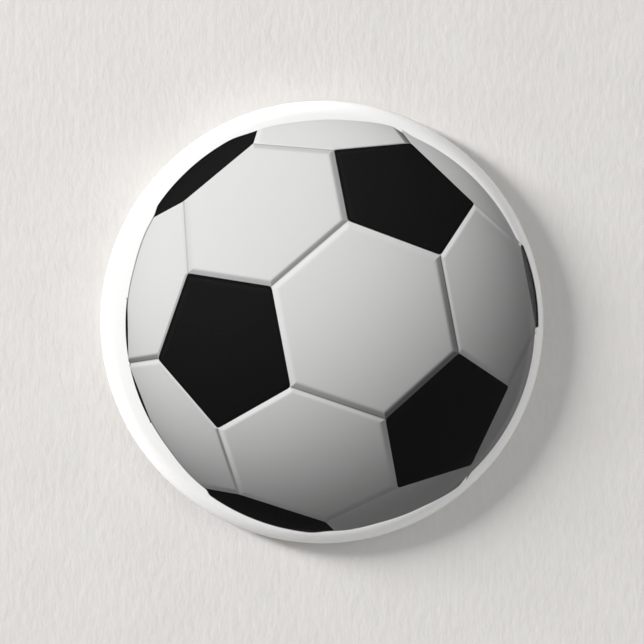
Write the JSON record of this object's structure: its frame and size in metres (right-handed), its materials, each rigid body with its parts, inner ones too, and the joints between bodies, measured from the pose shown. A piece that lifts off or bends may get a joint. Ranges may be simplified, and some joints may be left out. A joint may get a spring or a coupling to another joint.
{
  "type": "pin-back button badge",
  "caption": "Round domed button badge with a printed soccer ball under clear film, and a spring pin on its pressed steel back that unhooks from a catch.",
  "frame": {"origin": "middle of the plane that the back rim rests on", "axes": "+Z out of the printed face, +Y towards the top of the picture, the pin along X with its point towards -X"},
  "size_m": [0.0572, 0.0572, 0.0058],
  "materials": {
    "film": "clear glossy polyester film",
    "print": "white paper printed with a black and white soccer ball",
    "tinplate": "bright tinplate, rolled and pressed",
    "spring_wire": "drawn and plated spring steel wire"
  },
  "bodies": {
    "badge_body": {"clear_film": "film", "printed_disc": "print", "front_shell": "tinplate", "back_plate": "tinplate", "anchor_wire": "spring_wire"},
    "pin": {"pin_arm": "spring_wire"}
  },
  "joints": [
    {"name": "pin_swing", "type": "hinge", "parent": "badge_body", "child": "pin", "pos_m": [0.01574, 0, 0.0014], "axis": [0, -0.6157, 0.788], "range_deg": [0, 42]}
  ]
}
